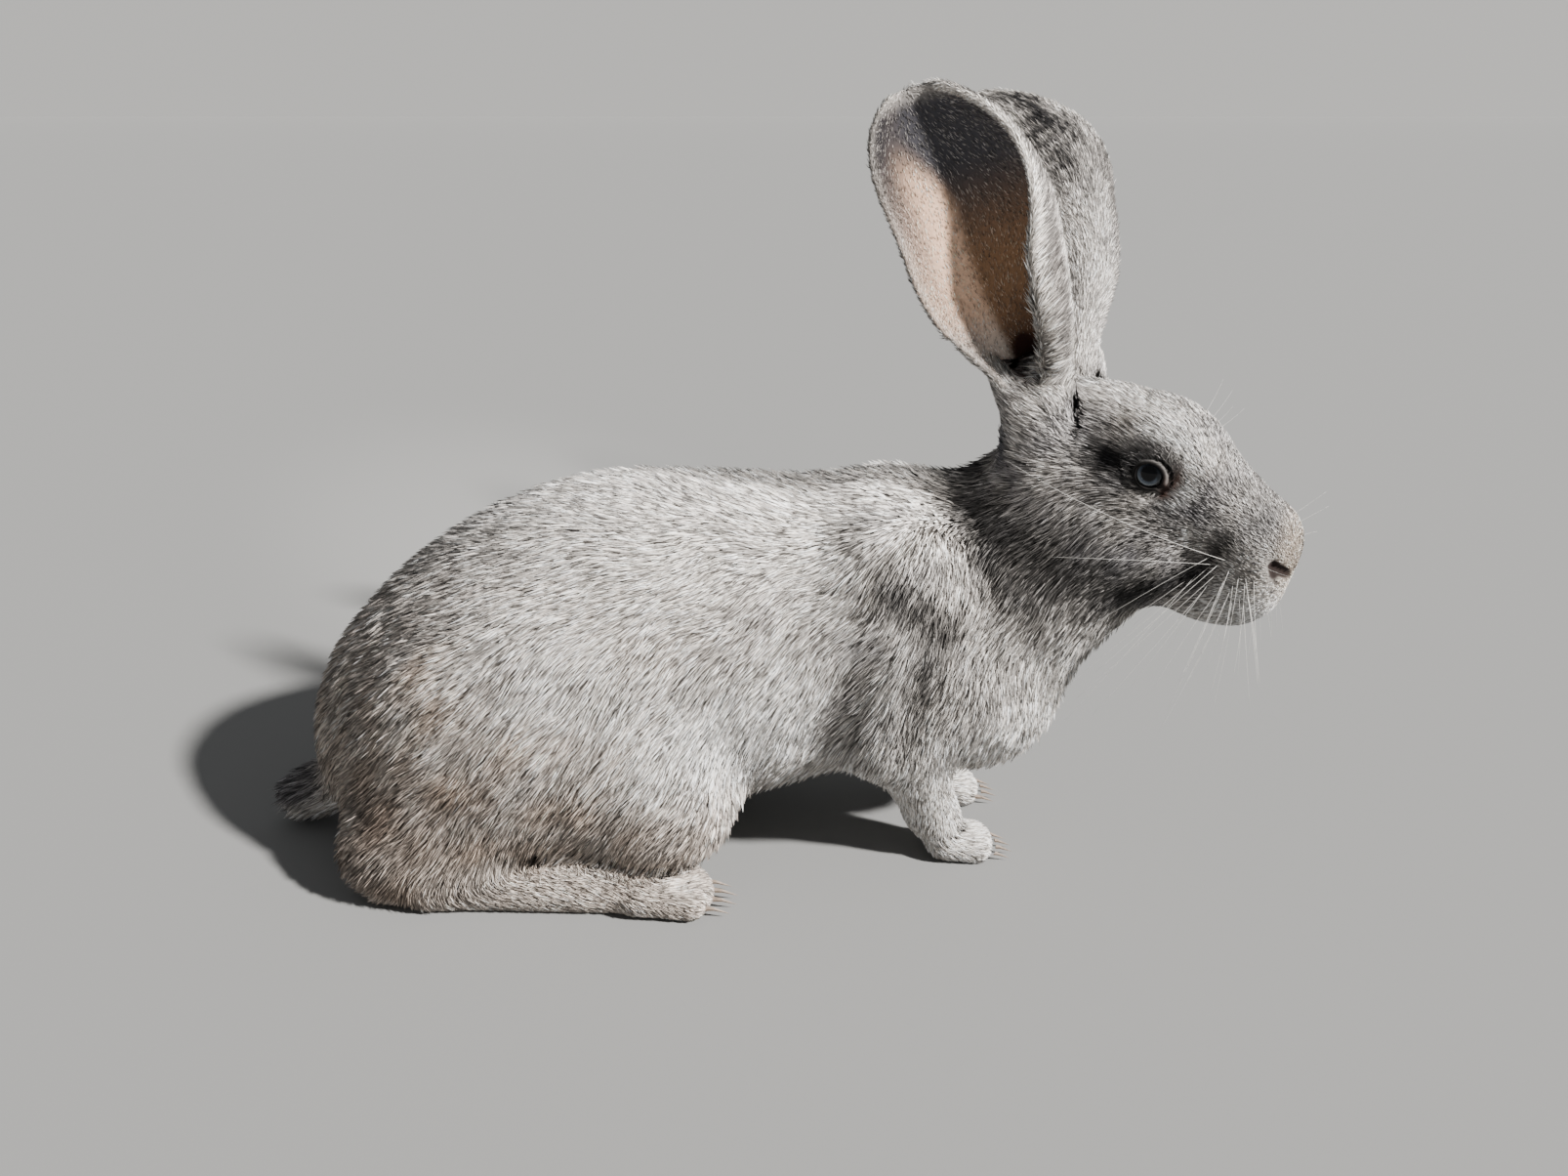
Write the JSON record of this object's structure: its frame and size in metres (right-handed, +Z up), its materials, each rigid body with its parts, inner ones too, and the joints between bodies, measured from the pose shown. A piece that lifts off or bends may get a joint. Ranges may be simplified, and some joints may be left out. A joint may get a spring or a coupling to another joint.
{
  "type": "rabbit",
  "caption": "Life-size still model of a large rabbit crouched and alert, with upright scooped ears, a grey coat, head turned to its right and feet flat on the floor",
  "frame": {"origin": "middle of the bounding box seen from above, on the floor", "axes": "+X forward from the tail to the chest, +Y to the rabbit's left, +Z up"},
  "size_m": [0.465, 0.1738, 0.3496],
  "materials": {
    "coat": "soft short fur, silver grey with darker and browner patches",
    "ear": "very short fur outside, thin haired skin inside",
    "eye": "wet gloss, blue-grey iris and dark pupil",
    "claw": "satin horn"
  },
  "bodies": {
    "root": {"neck": "coat", "haunch_right": "coat", "shoulder_right": "coat", "haunch_left": "coat", "shoulder_left": "coat", "chest": "coat", "loin": "coat", "rump": "coat", "tail": "coat", "hind_foot_right": "coat", "hind_claw_right_1": "claw", "hind_claw_right_2": "claw", "hind_claw_right_3": "claw", "hind_claw_right_4": "claw", "foreleg_right": "coat", "forepaw_right": "coat", "fore_claw_right_1": "claw", "fore_claw_right_2": "claw", "fore_claw_right_3": "claw", "fore_claw_right_4": "claw", "hind_foot_left": "coat", "hind_claw_left_1": "claw", "hind_claw_left_2": "claw", "hind_claw_left_3": "claw", "hind_claw_left_4": "claw", "foreleg_left": "coat", "forepaw_left": "coat", "fore_claw_left_1": "claw", "fore_claw_left_2": "claw", "fore_claw_left_3": "claw", "fore_claw_left_4": "claw", "eye_right": "eye", "ear_right": "ear", "eye_left": "eye", "ear_left": "ear", "head": "coat"}
  },
  "joints": []
}
